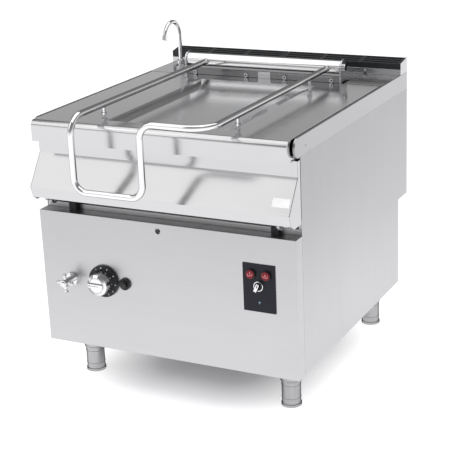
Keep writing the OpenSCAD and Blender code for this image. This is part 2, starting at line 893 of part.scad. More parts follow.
// Control plate with two push buttons and a selector
plate_t = 3;
bezel_r = 14.75;
bezel_t = 6;
well_r = 12.6;
well_floor = 1;
head_r = 12.5;
head_t = 5;
stem_bore_r = 8.1;
stem_button_r = 8;
barrel_l = 40;
stem_l = 24;
button_travel = 3.2;
head_proud = 3;
head_front = plate_t + bezel_t + head_proud;
grip_w = 9;
grip_h = 25;
grip_out = 14;
grip_angle = 25;
box_back = 145;
box_side_gap = 22.5;
box_end_gap = 13;
box_left = plate_x - plate_w / 2 - box_side_gap;
box_low = plate_z - box_end_gap;
box_high = plate_z + plate_h + box_end_gap;
module control_plate() {
    color([0.16, 0.16, 0.19]) difference() {
        block([plate_x - plate_w / 2, -plate_t, plate_z], [plate_x + plate_w / 2, 0, plate_z + plate_h]);
        for (p = switch_places)
            rod_y(-plate_t - over, over, p[0], p[1], barrel_r + hole_gap);
    }
}
module control_box() {
    color(zinc) difference() {
        block([box_left, rail_front, box_low], [frame_x, box_back, box_high]);
        block([box_left + sheet_t, rail_front - over, box_low + sheet_t],
              [frame_x - sheet_t, box_back - sheet_t, box_high - sheet_t]);
    }
}
module switch_bezels() {
    color(chrome) for (p = switch_places) difference() {
        union() {
            rod_y(-plate_t - bezel_t, -plate_t, p[0], p[1], bezel_r);
            rod_y(-plate_t, barrel_l, p[0], p[1], barrel_r);
        }
        rod_y(-plate_t - bezel_t - over, -plate_t - well_floor, p[0], p[1], well_r);
        rod_y(-plate_t - bezel_t - over, stem_l + button_travel + pass_gap, p[0], p[1], stem_bore_r);
    }
}
module push_button(p) {
    rod_y(-head_front, head_t - head_front, p[0], p[1], head_r);
    rod_y(head_t - head_front, stem_l, p[0], p[1], stem_button_r);
}
module raise_button() {
    color(red) push_button(switch_places[0]);
}
module lower_button() {
    color(red) push_button(switch_places[1]);
}
module selector_lever() {
    hub_front = -plate_t - bezel_t;
    p = switch_places[2];
    color(chrome) {
        rod_y(hub_front, -plate_t - well_floor - pass_gap, p[0], p[1], head_r);
        rod_y(-plate_t - well_floor - pass_gap, stem_l, p[0], p[1], stem_button_r);
        translate([p[0], hub_front, p[1]]) rotate([0, grip_angle, 0])
            block([-grip_w / 2, -grip_out, -grip_h / 2], [grip_w / 2, 0, grip_h / 2]);
    }
}

// Tilt drive: worm gearbox with its motor, crank shaft, pinion and the sector under the pan
tip_share = 0.7;
root_share = 1.0;
tooth_shares = [0.46, 0.34, 0.18];
sector_x = 26;
gearbox_left = -62;
gearbox_right = 20;
gearbox_ahead = 45;
gearbox_behind = 38;
gearbox_front = pinion_y - gearbox_ahead;
gearbox_back = pinion_y + gearbox_behind;
gearbox_over = 45;
motor_gap = 12;
motor_back = manifold_y - manifold_r - motor_gap;
motor_r = 38;
motor_box_w = 33;
motor_box_shares = [0.2, 0.6];
motor_box_h = 55;
pinion_shaft_r = 10;
pinion_shaft_in = 15;
crank_front = 6;
crank_in = 12;
hex_flats = 10;
hex_depth = 12;
sector_hub_r = 116;
sector_end_angle = 2.5;
sector_hole_r = 32;
hole_shares = [0.35, 0.58, 0.81];

// One tooth, pointing along x from the gear's middle: shares of the pitch at root, pitch line and tip
function tooth(r) = let(pitch = PI * gear_m)
    let(root = r - root_share * gear_m - over, tip = r + tip_share * gear_m)
    [
        [root, -tooth_shares[0] * pitch / 2],
        [r, -tooth_shares[1] * pitch / 2],
        [tip, -tooth_shares[2] * pitch / 2],
        [tip, tooth_shares[2] * pitch / 2],
        [r, tooth_shares[1] * pitch / 2],
        [root, tooth_shares[0] * pitch / 2]
    ];
module tilt_gearbox() {
    color(grey_paint) difference() {
        block([gearbox_left, gearbox_front, gearbox_under],
              [gearbox_right, gearbox_back, crank_z + gearbox_over]);
        rod_y(gearbox_front - over, gearbox_front + crank_in + pass_gap, -crank_x, crank_z, crank_r + run_gap);
        rod_x(gearbox_right - pinion_shaft_in - pass_gap, gearbox_right + over, pinion_y, wheel_z,
              pinion_shaft_r + run_gap);
    }
}
module tilt_motor() {
    color(grey_paint) {
        motor_l = motor_back - gearbox_back;
        rod_y(gearbox_back, motor_back, -crank_x, crank_z, motor_r);
        block([-crank_x - motor_r - motor_box_w, gearbox_back + motor_l * motor_box_shares[0],
               crank_z - motor_box_h / 2],
              [-crank_x, gearbox_back + motor_l * motor_box_shares[1], crank_z + motor_box_h / 2]);
    }
}
module crank_shaft() {
    color(zinc) difference() {
        rod_y(crank_front, gearbox_front + crank_in, -crank_x, crank_z, crank_r);
        translate([-crank_x, crank_front + hex_depth, crank_z]) rotate([90, 0, 0])
            cylinder(h = hex_depth + over, d = hex_flats / cos(30), $fn = 6);
    }
}
module tilt_pinion() {
    color(zinc) {
        push_x(sector_x - pass_gap, sector_x + sector_t + pass_gap)
            translate([pinion_y, wheel_z]) rotate(180 - pinion_angle)
                for (k = [0 : pinion_teeth - 1]) rotate(k * 360 / pinion_teeth) polygon(tooth(pinion_r));
        rod_x(sector_x - pass_gap, sector_x + sector_t + pass_gap, pinion_y, wheel_z,
              pinion_r - root_share * gear_m);
        rod_x(gearbox_right - pinion_shaft_in, sector_x + sector_t + motor_box_w / 2, pinion_y, wheel_z,
              pinion_shaft_r);
    }
}
module tilt_sector() {
    step = 360 / ring_teeth;
    far = 2 * ring_r;
    low_angle = -pinion_angle - tilt_angle - sector_end_angle;
    first = -floor((tilt_angle + sector_end_angle) / step) - 1;
    color(zinc) difference() {
        union() {
            intersection() {
                rod_x(sector_x, sector_x + sector_t, pivot_y, pivot_z, ring_r - root_share * gear_m);
                push_x(sector_x, sector_x + sector_t) polygon([
                    [pivot_y, base_under],
                    [pivot_y, pivot_z - over],
                    [pivot_y + far * cos(low_angle), pivot_z + far * sin(low_angle)],
                    [pivot_y + far, pivot_z - far],
                    [pivot_y + far, base_under]
                ]);
            }
            push_x(sector_x, sector_x + sector_t) translate([pivot_y, pivot_z])
                for (k = [first : 1]) rotate(-pinion_angle + (k + 1 / 2) * step) polygon(tooth(ring_r));
        }
        rod_x(sector_x - over, sector_x + sector_t + over, pivot_y, pivot_z, sector_hub_r);
        for (share = hole_shares)
            rod_x(sector_x - over, sector_x + sector_t + over,
                  pivot_y + (sector_hub_r + ring_r) / 2 * cos(low_angle * share),
                  pivot_z + (sector_hub_r + ring_r) / 2 * sin(low_angle * share),
                  sector_hole_r);
    }
}

// Pan
rim_front = 28;
rim_rear_gap = 2;
rim_back = lid_rear - rim_rear_gap;
apron_t = 2;
arm_t = 8;
arm_disc_r = 22;
arm_back = 300;
// The pan is welded from plates, each a solid: a base, four walls and four corners, and a rim in eight parts
module pan_inside(low, high) {
    rounded_slab([vessel_wall_t - vessel_x, vessel_front + vessel_wall_t, low],
                 [vessel_x - vessel_wall_t, vessel_rear - vessel_wall_t, high],
                 vessel_corner_r - vessel_wall_t);
}
module pan_welds(low, high) {
    corner_in = vessel_x - vessel_corner_r;
    both_sides() block([corner_in, rim_front - over, low], [corner_in + weld_gap, rim_back + over, high]);
    for (y = [vessel_front + vessel_corner_r, vessel_rear - vessel_corner_r])
        block([-vessel_x - rim_w - over, y, low], [vessel_x + rim_w + over, y + weld_gap, high]);
}
module pan_vessel() {
    wall_low = base_over + weld_gap;
    wall_high = rim_top - vessel_wall_t - weld_gap;
    color(stainless) {
        rounded_slab([-vessel_x, vessel_front, base_under], [vessel_x, vessel_rear, base_over], vessel_corner_r);
        difference() {
            rounded_slab([-vessel_x, vessel_front, wall_low], [vessel_x, vessel_rear, wall_high], vessel_corner_r);
            pan_inside(wall_low - over, wall_high + over);
            pan_welds(wall_low - over, wall_high + over);
        }
        difference() {
            block([-vessel_x - rim_w, rim_front, rim_top - vessel_wall_t], [vessel_x + rim_w, rim_back, rim_top]);
            pan_inside(rim_top - vessel_wall_t - over, rim_top + over);
            pan_welds(rim_top - vessel_wall_t - over, rim_top + over);
        }
    }
}
module front_apron() {
    strip_low = rim_top - strip_h;
    lip_nose_z = pivot_z + lip_nose_rise;
    lip_low = lip_nose_z - vessel_base_t - apron_t;
    color(stainless) {
        push_x(-inner_x, inner_x) polygon(folded([
            [strip_y, rim_top],
            [strip_y, strip_low],
            [-lip_reach, pivot_z + lip_rise],
            [lip_nose_y, lip_nose_z]
        ], apron_t));
        push_x(-vessel_x, vessel_x) polygon(folded([
            [lip_nose_y, lip_nose_z],
            [lip_heel_y, lip_low],
            [apron_back, lip_low]
        ], apron_t));
    }
}
module apron_cheeks() {
    strip_low = rim_top - strip_h;
    lip_nose_z = pivot_z + lip_nose_rise;
    lip_low = lip_nose_z - vessel_base_t - apron_t;
    color(stainless) both_sides() push_x(inner_x, half_w) polygon([
        [strip_y, rim_top],
        [strip_y, strip_low],
        [-lip_reach, pivot_z + lip_rise],
        [lip_nose_y, lip_nose_z],
        [lip_heel_y, lip_low],
        [cheek_back, lip_low],
        [cheek_back, rim_top]
    ]);
}
module trunnion_arms() {
    color(zinc) both_sides() {
        rod_x(vessel_x, vessel_x + arm_t, pivot_y, pivot_z, arm_disc_r);
        block([vessel_x, pivot_y, base_under], [vessel_x + arm_t, arm_back, pivot_z + arm_disc_r]);
        rod_x(vessel_x, inner_x, pivot_y, pivot_z, trunnion_r);
    }
}

// Hinge on the pan: channel, two brackets, fixed rod and its springs
hinge_x = hinge_tube_l / 2 + panel_gap;
hinge_z = worktop_h + hinge_rise;
channel_t = 3;
channel_drop = 66;
channel_step_drop = 6;
channel_rise = 22;
channel_low = rim_top - channel_drop;
channel_step = rim_top - channel_step_drop;
channel_front = hinge_y - channel_half_d;
channel_back = hinge_y + channel_half_d;
channel_top = worktop_h + channel_rise;
bracket_disc_r = 25;
bracket_side_t = 6;
bracket_front = hinge_y - bracket_disc_r;
bracket_back = hinge_y + bracket_disc_r;
rod_r = 8;
rod_head_r = 12;
rod_head_t = 7;
plug_t = 8;
tube_bore_r = 19;
spring_bore_r = 8.3;
spring_r = 15;
spring_l = 110;
spring_x = 60;
fastener_shares = [-0.885, -0.2, 0.305, 0.9];
fastener_rise = 8;
fastener_z = worktop_h + fastener_rise;
fastener_r = 7;
fastener_t = 5;
small_plate_left = 12;
small_plate_right = 33;
small_plate_half_h = 14;
module hinge_channel() {
    color(stainless) push_x(-hinge_x, hinge_x) polygon(folded([
        [vessel_rear, channel_low],
        [channel_back, channel_low],
        [channel_back, channel_top],
        [channel_front, channel_top],
        [channel_front, channel_step],
        [vessel_rear, channel_step]
    ], channel_t));
}
module hinge_brackets() {
    color(stainless) both_sides() difference() {
        union() {
            block([hinge_x, bracket_front, channel_low], [hinge_x + bracket_side_t, bracket_back, hinge_z]);
            rod_x(hinge_x, hinge_x + bracket_side_t, hinge_y, hinge_z, bracket_disc_r);
        }
        rod_x(hinge_x - over, hinge_x + bracket_side_t + over, hinge_y, hinge_z, rod_r);
    }
}
module hinge_fasteners() {
    color(zinc) {
        for (share = fastener_shares)
            rod_y(channel_front - fastener_t, channel_front, hinge_x * share, fastener_z, fastener_r);
        block([-small_plate_left, channel_front - sheet_t, fastener_z - small_plate_half_h],
              [small_plate_right, channel_front, fastener_z + small_plate_half_h]);
    }
}
module hinge_rod() {
    rod_end = hinge_x + bracket_side_t;
    color(zinc) {
        rod_x(-rod_end, rod_end, hinge_y, hinge_z, rod_r);
        both_sides() rod_x(rod_end, rod_end + rod_head_t, hinge_y, hinge_z, rod_head_r);
    }
}
module torsion_springs() {
    color(zinc) both_sides() difference() {
        rod_x(spring_x, spring_x + spring_l, hinge_y, hinge_z, spring_r);
        rod_x(spring_x - over, spring_x + spring_l + over, hinge_y, hinge_z, spring_bore_r);
    }
}

// Lid
lid_gap = 0.3;
lid_top = worktop_h;
tray_left = 190;
tray_right = 216;
tray_front = 45;
tray_rear_inset = 60;
tray_back = lid_rear - tray_rear_inset;
tray_slope = 45;
post_front = 57;
post_rear_inset = 136;
post_rear = lid_rear - post_rear_inset;
post_r = 5;
post_nut_r = 8;
post_nut_h = 8;
post_nut_rise = 12;
rail_bends = [55, 40, 40, 42, 70];
liner_t = 2;
module lid_tray(drop) {
    intersection() {
        push_x(-tray_left, tray_right) polygon([
            [tray_front, lid_top + over],
            [tray_front, lid_top - drop],
            [tray_front + tray_slope, lid_top - tray_depth - drop],
            [tray_back - 2 * tray_slope, lid_top - tray_depth - drop],
            [tray_back, lid_top - drop],
            [tray_back, lid_top + over]
        ]);
        push_y(tray_front, tray_back) polygon([
            [-tray_left, lid_top + over],
            [-tray_left, lid_top - drop],
            [tray_slope - tray_left, lid_top - tray_depth - drop],
            [tray_right - tray_slope, lid_top - tray_depth - drop],
            [tray_right, lid_top - drop],
            [tray_right, lid_top + over]
        ]);
    }
}
module lid_shell() {
    lid_x = lid_w / 2;
    color(stainless) difference() {
        union() {
            difference() {
                push_x(-lid_x, lid_x) lid_outline(0);
                push_x(sheet_t - lid_x, lid_x - sheet_t) lid_outline(sheet_t);
            }
            intersection() {
                lid_tray(sheet_t);
                push_x(-lid_x, lid_x) lid_outline(0);
            }
        }
        lid_tray(0);
    }
}
module lid_outline(inset) {
    edge = lid_edge_r - inset;
    difference() {
        union() {
            translate([inset - lid_reach + edge, rim_top + lid_gap])
                square([lid_rear + lid_reach - edge - 2 * inset, lid_top - rim_top - lid_gap - inset]);
            translate([inset - lid_reach, rim_top + lid_gap])
                square([edge + over, lid_top - rim_top - lid_gap - inset - edge]);
            translate([inset - lid_reach + edge, lid_top - inset - edge]) circle(r = edge);
        }
    }
}
module lid_liner() {
    lid_x = lid_w / 2;
    color(pale_steel)
        block([sheet_t - lid_x, sheet_t - lid_reach, rim_top + lid_gap],
              [lid_x - sheet_t, lid_rear - sheet_t, rim_top + lid_gap + liner_t]);
}
module rail_path(radius) {
    rail_z = lid_top + rail_rise;
    loop_low = rail_z - loop_h;
    bent_rod([
        [-rail_left, hinge_y, rail_z],
        [-rail_left, -loop_reach, rail_z],
        [-rail_left, -loop_reach, loop_low],
        [loop_right, -loop_reach, loop_low],
        [loop_right, -loop_reach, rail_z],
        [rail_right, -loop_reach, rail_z],
        [rail_right, hinge_y, rail_z]
    ], rail_bends, radius);
}
module lid_handle() {
    color(stainless) difference() {
        rail_path(handle_r);
        rail_path(handle_r - handle_wall);
        rod_x(-hinge_x, hinge_x, hinge_y, hinge_z, hinge_tube_r + hole_gap / 2);
    }
}
module lid_posts() {
    rail_z = lid_top + rail_rise;
    color(zinc) difference() {
        for (x = [-rail_left, rail_right], y = [post_front, post_rear]) {
            rod_z(lid_top, rail_z, x, y, post_r);
            rod_z(lid_top + post_nut_rise, lid_top + post_nut_rise + post_nut_h, x, y, post_nut_r);
        }
        for (x = [-rail_left, rail_right])
            rod_y(0, lid_rear, x, rail_z, handle_r + run_gap);
    }
}
module hinge_tube() {
    tube_end = hinge_tube_l / 2;
    color(stainless) {
        difference() {
            rod_x(-tube_end, tube_end, hinge_y, hinge_z, hinge_tube_r);
            rod_x(-tube_end - over, tube_end + over, hinge_y, hinge_z, tube_bore_r);
        }
        both_sides() difference() {
            rod_x(tube_end - plug_t, tube_end, hinge_y, hinge_z, tube_bore_r);
            rod_x(tube_end - plug_t - over, tube_end + over, hinge_y, hinge_z, rod_r + run_gap);
        }
    }
}

in_frame() frame_uprights();
in_frame() frame_side_rails();
in_frame() frame_cross_rails();
in_frame() front_top_rail();
in_frame() bottom_panel();
in_frame() left_side_panel();
in_frame() right_side_panel();
in_frame() front_panel();
in_frame() rear_panel();
in_frame() left_moulding();
in_frame() right_moulding();
in_frame() rear_deck();
in_frame() flue_body();
in_frame() left_flue_grille();
in_frame() right_flue_grille();
in_frame() foot_sleeves();
in_frame() pivot_brackets();
in_frame() pivot_bushes();
in_frame() pan_stops();
in_frame() burner_tubes();
in_frame() gas_pipework();
in_frame() gas_valve();
in_frame() igniter_body();
in_frame() dial_plate();
in_frame() water_valve();
in_frame() water_pipework();
in_frame() control_plate();
in_frame() control_box();
in_frame() switch_bezels();
in_frame() tilt_gearbox();
in_frame() tilt_motor();
in_frame() spout_base();
in_frame() pan_vessel();
in_frame() front_apron();
in_frame() apron_cheeks();
in_frame() trunnion_arms();
in_frame() tilt_sector();
in_frame() hinge_channel();
in_frame() hinge_brackets();
in_frame() hinge_fasteners();
in_frame() hinge_rod();
in_frame() torsion_springs();
in_frame() lid_shell();
in_frame() lid_liner();
in_frame() lid_handle();
in_frame() lid_posts();
in_frame() hinge_tube();
in_frame() spout();
in_frame() tap_handle();
in_frame() control_knob();
in_frame() igniter_button();
in_frame() raise_button();
in_frame() lower_button();
in_frame() selector_lever();
in_frame() tilt_pinion();
in_frame() crank_shaft();
in_frame() front_left_foot();
in_frame() front_right_foot();
in_frame() rear_left_foot();
in_frame() rear_right_foot();
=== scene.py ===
import bpy
import math
from mathutils import Matrix, Vector
from types import SimpleNamespace


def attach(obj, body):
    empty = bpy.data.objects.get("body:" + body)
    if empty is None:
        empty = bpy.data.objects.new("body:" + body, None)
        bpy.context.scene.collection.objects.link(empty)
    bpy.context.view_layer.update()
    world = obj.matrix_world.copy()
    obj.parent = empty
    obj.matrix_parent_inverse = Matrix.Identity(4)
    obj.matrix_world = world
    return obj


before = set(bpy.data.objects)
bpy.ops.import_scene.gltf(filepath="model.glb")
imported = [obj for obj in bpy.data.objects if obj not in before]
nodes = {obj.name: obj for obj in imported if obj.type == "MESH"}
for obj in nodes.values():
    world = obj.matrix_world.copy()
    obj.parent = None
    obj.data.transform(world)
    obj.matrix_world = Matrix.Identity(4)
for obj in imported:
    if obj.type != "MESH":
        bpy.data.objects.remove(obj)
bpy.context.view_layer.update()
scene = bpy.context.scene
MM = 0.001
ACROSS, BACK, AHEAD, UP, DOWN = (1, 0, 0), (0, 1, 0), (0, -1, 0), (0, 0, 1), (0, 0, -1)
SHARP = math.radians(35)


def reach(name, axis, pick):
    """How far a solid reaches along an axis of the frame, in metres, with min or max as pick."""
    o = nodes[name]
    return pick((o.matrix_world @ v.co)[axis] for v in o.data.vertices)


# Distance from the front panel's face to the frame's origin, along y
MIDDLE = round(-reach("front_panel", 1, min), 6)


def at(x, y, z):
    """A place in millimetres, across, back from the front panel's face and up, in the frame."""
    return Vector((x * MM, y * MM - MIDDLE, z * MM))


def tenths(place):
    """A place in millimetres, rounded to a tenth."""
    return Vector([round(k, 1) for k in place])


def span(name):
    """A solid's low and high corner, middle and half sizes, in millimetres as at() takes them."""
    low, high = ([reach(name, axis, pick) / MM for axis in range(3)] for pick in (min, max))
    low[1] += MIDDLE / MM
    high[1] += MIDDLE / MM
    mid = [(a + b) / 2 for a, b in zip(low, high)]
    half = [(b - a) / 2 for a, b in zip(low, high)]
    return SimpleNamespace(low=tenths(low), high=tenths(high), mid=tenths(mid), half=tenths(half))


# Materials
def new_material(name):
    """An empty material with its node tree and its surface."""
    m = bpy.data.materials.new(name)
    m.use_nodes = True
    t = m.node_tree
    t.nodes.clear()
    out = t.nodes.new("ShaderNodeOutputMaterial")
    b = t.nodes.new("ShaderNodeBsdfPrincipled")
    t.links.new(b.outputs["BSDF"], out.inputs["Surface"])
    return m, t, b


def add(t, kind, **values):
    """A node, with values for its inputs and its settings."""
    n = t.nodes.new(kind)
    for k, v in values.items():
        if k in n.inputs:
            n.inputs[k].default_value = v
        else:
            setattr(n, k, v)
    return n


def noise(t, scale, detail, stretch, seed):
    """Noise in object space, stretched along the axes by the given factors."""
    c = t.nodes.new("ShaderNodeTexCoord")
    m = t.nodes.new("ShaderNodeMapping")
    m.inputs["Scale"].default_value = stretch
    m.inputs["Location"].default_value = (seed, seed * 1.7, seed * 0.6)
    n = add(t, "ShaderNodeTexNoise", Scale=scale, Detail=detail, Roughness=0.6)
    t.links.new(c.outputs["Object"], m.inputs["Vector"])
    t.links.new(m.outputs["Vector"], n.inputs["Vector"])
    return n.outputs["Fac"]


def remap(t, value, low, high):
    """A value from 0 to 1, stretched to run from low to high."""
    r = t.nodes.new("ShaderNodeMapRange")
    r.inputs["To Min"].default_value = low
    r.inputs["To Max"].default_value = high
    t.links.new(value, r.inputs["Value"])
    return r.outputs["Result"]


def shade(t, value, dark, light):
    """A colour between two, picked by a value."""
    m = t.nodes.new("ShaderNodeMix")
    m.data_type = "RGBA"
    m.inputs["A"].default_value = (*dark, 1)
    m.inputs["B"].default_value = (*light, 1)
    t.links.new(value, m.inputs["Factor"])
    return m.outputs["Result"]


def shade_painted_upwards(t, colour, top):
    """The same colour, darkened upwards as painted shade: the share named top is left at the worktop's
    height.
    """
    start, end = 0.2, 0.85
    spot = t.nodes.new("ShaderNodeTexCoord")
    parts = t.nodes.new("ShaderNodeSeparateXYZ")
    t.links.new(spot.outputs["Object"], parts.inputs["Vector"])
    rise = t.nodes.new("ShaderNodeMapRange")
    rise.interpolation_type = "SMOOTHSTEP"
    rise.inputs["From Min"].default_value = start
    rise.inputs["From Max"].default_value = end
    t.links.new(parts.outputs["Z"], rise.inputs["Value"])
    fade = t.nodes.new("ShaderNodeMix")
    fade.data_type = "RGBA"
    fade.blend_type = "MULTIPLY"
    fade.inputs["B"].default_value = (top, top, top, 1)
    t.links.new(rise.outputs["Result"], fade.inputs["Factor"])
    t.links.new(colour, fade.inputs["A"])
    return fade.outputs["Result"]


def bump(t, b, value, strength, distance, edge):
    """Fine relief, and edges that shade as if rounded by so many millimetres."""
    n = add(t, "ShaderNodeBump", Strength=strength, Distance=distance)
    t.links.new(value, n.inputs["Height"])
    t.links.new(n.outputs["Normal"], b.inputs["Normal"])
    if edge:
        r = t.nodes.new("ShaderNodeBevel")
        r.samples = 4
        r.inputs["Radius"].default_value = edge * MM
        t.links.new(r.outputs["Normal"], n.inputs["Normal"])


def brushed(name, tone, spread, rough, along, fine=1.0, edge=0.0, top=1.0, rim=1.0, seed=0.0):
    """Brushed steel: fine lines along one axis (0, 1 or 2), over slow clouds in tone and gloss.
    top is how much of its tone is left at the worktop, a painted shade that darkens the panels upwards,
    and rim what round metal reflects at a glancing angle."""
    line_scale, band_scale, cloud_scale, detail, long = 520.0, 60.0, 3.0, 3.0, 0.012
    m, t, b = new_material(name)
    b.inputs["Metallic"].default_value = 1.0
    b.inputs["Specular Tint"].default_value = (rim, rim, rim, 1)
    stretch = [1.0, 1.0, 1.0]
    if along is not None:
        stretch[along] = long
    line = noise(t, line_scale, detail, stretch, seed)
    band = noise(t, band_scale, detail, [0.3 * k + 0.02 for k in stretch], seed + 1)
    cloud = noise(t, cloud_scale, detail, (1, 1, 1), seed + 3)
    total = None
    for value, weight in ((line, 0.40), (band, 0.25), (cloud, 0.35)):
        part = add(t, "ShaderNodeMath", operation="MULTIPLY_ADD")
        part.inputs[1].default_value = weight
        part.inputs[2].default_value = 0.0
        t.links.new(value, part.inputs[0])
        if total:
            t.links.new(total, part.inputs[2])
        total = part.outputs[0]
    colour = shade(t, total, [k - spread for k in tone], [k + spread for k in tone])
    # painted shade: the tone is darkened towards the worktop
    if top < 1:
        colour = shade_painted_upwards(t, colour, top)
    t.links.new(colour, b.inputs["Base Color"])
    t.links.new(remap(t, total, rough + 0.05, rough - 0.05), b.inputs["Roughness"])
    bump(t, b, line, 0.05 * fine, 0.0002, edge)
    return m


def coated(name, dark, light, rough, metallic=0.0, scale=300.0, strength=0.05, coat=0.0, shine=0.5, edge=0.0,
           glow=0.0, seed=0.0):
    """A plain finish with a fine grain, between two tones. glow is painted light that it gives of its own,
    though it is no lamp.
    """
    m, t, b = new_material(name)
    b.inputs["Metallic"].default_value = metallic
    b.inputs["Specular IOR Level"].default_value = shine
    b.inputs["Coat Weight"].default_value = coat
    b.inputs["Emission Color"].default_value = (*light, 1)
    b.inputs["Emission Strength"].default_value = glow
    grain = noise(t, scale, 4.0, (1, 1, 1), seed)
    cloud = noise(t, scale / 14, 3.0, (1, 1, 1), seed + 5)
    t.links.new(shade(t, cloud, dark, light), b.inputs["Base Color"])
    t.links.new(remap(t, cloud, rough - 0.05, rough + 0.07), b.inputs["Roughness"])
    bump(t, b, grain, strength, 0.0006, edge)
    return m


def grey(value, blue=0.005):
    """A grey, made a little cooler or warmer by its blue."""
    return value, value, value + blue


M = {
    # panels
    # the front and side panels darken upwards by painted shade, set by top
    "front": brushed("front_steel", grey(0.575), 0.045, 0.34, 0, edge=1.5, top=0.84),
    "side": brushed("side_steel", grey(0.57), 0.04, 0.36, 2, edge=1.2, top=0.76, seed=2),
    # folded pieces, brushed from side to side
    "apron": brushed("apron_steel", grey(0.61), 0.03, 0.14, 0, seed=4),
    "flue": brushed("flue_steel", grey(0.57), 0.03, 0.25, 0, seed=12),
    # the hinge channel is darker than the deck steel as painted shade under the hinge tube
    "channel": brushed("channel_steel_painted_shade", grey(0.34), 0.04, 0.14, 0, seed=13),
    "deck": brushed("deck_steel", grey(0.60, 0.01), 0.04, 0.22, 0, seed=5),
    # from front to back
    "lid": brushed("lid_steel", grey(0.62), 0.035, 0.16, 1, fine=0.6, seed=6),
    "moulding": brushed("moulding_steel", grey(0.45), 0.04, 0.26, 1, edge=1.2, seed=7),
    # not in one direction
    "vessel": brushed("vessel_steel", grey(0.58, 0.01), 0.05, 0.30, None, seed=8),
    "tube": brushed("tube_steel", grey(0.86), 0.04, 0.07, None, fine=0.2, rim=0.20, seed=9),
    "foot": brushed("foot_steel", grey(0.42), 0.20, 0.12, 2, fine=0.5, rim=0.12, seed=10),
    "chrome": brushed("chrome_plate", grey(0.82, 0.01), 0.02, 0.06, None, fine=0.1, rim=0.15, seed=11),
    # other metals
    "zinc": coated("zinc_plate", (0.40, 0.41, 0.43), (0.56, 0.57, 0.59), 0.42, metallic=1.0,
                   scale=90.0, strength=0.12, seed=12),
    "brass": coated("brass_pipe", (0.50, 0.35, 0.12), (0.66, 0.48, 0.20), 0.32, metallic=1.0,
                    scale=80.0, strength=0.10, seed=18),
    "bronze": coated("bronze_bush", (0.42, 0.26, 0.12), (0.55, 0.36, 0.18), 0.30, metallic=1.0,
                     scale=120.0, strength=0.08, seed=19),
    "label_foil": coated("plate_foil", grey(0.42, 0.01), grey(0.48, 0.01), 0.38, metallic=1.0,
                         scale=160.0, strength=0.06, seed=23),
    # dark pieces
    "black": coated("black_enamel", (0.010, 0.011, 0.012), (0.020, 0.022, 0.024), 0.38,
                    scale=260.0, strength=0.10, shine=0.35, seed=13),
    "plastic": coated("black_plastic", (0.010, 0.010, 0.011), (0.020, 0.020, 0.022), 0.42,
                      scale=600.0, strength=0.10, seed=14),
    "plate": coated("plate_film", (0.014, 0.015, 0.022), (0.022, 0.023, 0.032), 0.38,
                    scale=500.0, shine=0.25, seed=15),
    "rubber": coated("stop_rubber", (0.008, 0.008, 0.009), (0.018, 0.018, 0.019), 0.62,
                     strength=0.25, seed=17),
    "grey": coated("grey_plastic", grey(0.10), grey(0.15), 0.4, scale=400.0, strength=0.06, seed=26),
    # dark marks, and dark faces standing in as painted shade in grooves, gaps, sockets, slots and the
    # spout's mouth
    "dark": coated("dark_marks_and_painted_recess_shade", (0.008, 0.008, 0.009), (0.016, 0.016, 0.018), 0.55, seed=27),
    "paint": coated("grey_paint", (0.075, 0.082, 0.095), (0.11, 0.12, 0.135), 0.45,
                    scale=220.0, strength=0.20, seed=20),
    # lamps, prints and the label
    "red": coated("red_lamp", (0.24, 0.008, 0.014), (0.34, 0.014, 0.022), 0.30, coat=0.2, shine=0.3,
                  edge=0.8, seed=16),
    "print": coated("white_print", grey(0.72, 0), grey(0.80, 0), 0.5, scale=700.0, strength=0.04, seed=21),
    # the label glows a little as painted light, though it is no lamp
    "label": coated("label_film_painted_glow", grey(0.93, -0.01), grey(0.97, -0.01), 0.38,
                    strength=0.04, glow=0.22, seed=22),
    # the pink signs glow a little as painted light, though the lamps are not lit
    "pink": coated("pink_print_painted_glow", (0.76, 0.30, 0.35), (0.84, 0.38, 0.42), 0.5,
                   scale=500.0, strength=0.04, glow=0.3, seed=24),
    "blue": coated("blue_print", (0.30, 0.52, 0.62), (0.38, 0.60, 0.70), 0.5,
                   scale=500.0, strength=0.04, seed=25),
}
LOOK = {
    "front": ["front_panel"],
    "side": ["left_side_panel", "right_side_panel", "rear_panel", "bottom_panel", "front_top_rail"],
    "apron": ["front_apron", "apron_cheeks"],
    "flue": ["flue_body", "burner_tubes", "lid_liner"],
    "channel": ["hinge_channel"],
    "deck": ["rear_deck", "hinge_brackets"],
    "lid": ["lid_shell"],
    "moulding": ["left_moulding", "right_moulding"],
    "vessel": ["pan_vessel"],
    "tube": ["lid_handle", "hinge_tube", "spout", "water_pipework"],
    "foot": ["foot_sleeves", "front_left_foot", "front_right_foot", "rear_left_foot", "rear_right_foot"],
    "chrome": ["lid_posts", "hinge_fasteners", "hinge_rod", "water_valve", "tap_handle", "control_knob",
               "switch_bezels", "selector_lever", "spout_base"],
    "zinc": ["frame_uprights", "frame_side_rails", "frame_cross_rails", "pivot_brackets", "trunnion_arms",
             "tilt_sector", "torsion_springs", "tilt_pinion", "crank_shaft", "control_box"],
    "black": ["left_flue_grille", "right_flue_grille", "dial_plate"],
    "plastic": ["igniter_body", "igniter_button"],
    "plate": ["control_plate"],
    "red": ["raise_button", "lower_button"],
    "rubber": ["pan_stops"],
    "brass": ["gas_pipework", "gas_valve"],
    "bronze": ["pivot_bushes"],
    "paint": ["tilt_gearbox", "tilt_motor"],
}


def dress_nodes():
    """Gives every solid its finish."""
    for look, names in LOOK.items():
        for name in names:
            o = nodes[name]
            o.data.materials.clear()
            o.data.materials.append(M[look])


def darken(name, chosen):
    """Gives black plastic to those faces of a solid whose middle is chosen."""
    o = nodes[name]
    o.data.materials.append(M["plastic"])
    for face in o.data.polygons:
        if chosen(o.matrix_world @ face.center):
            face.material_index = 1


dress_nodes()
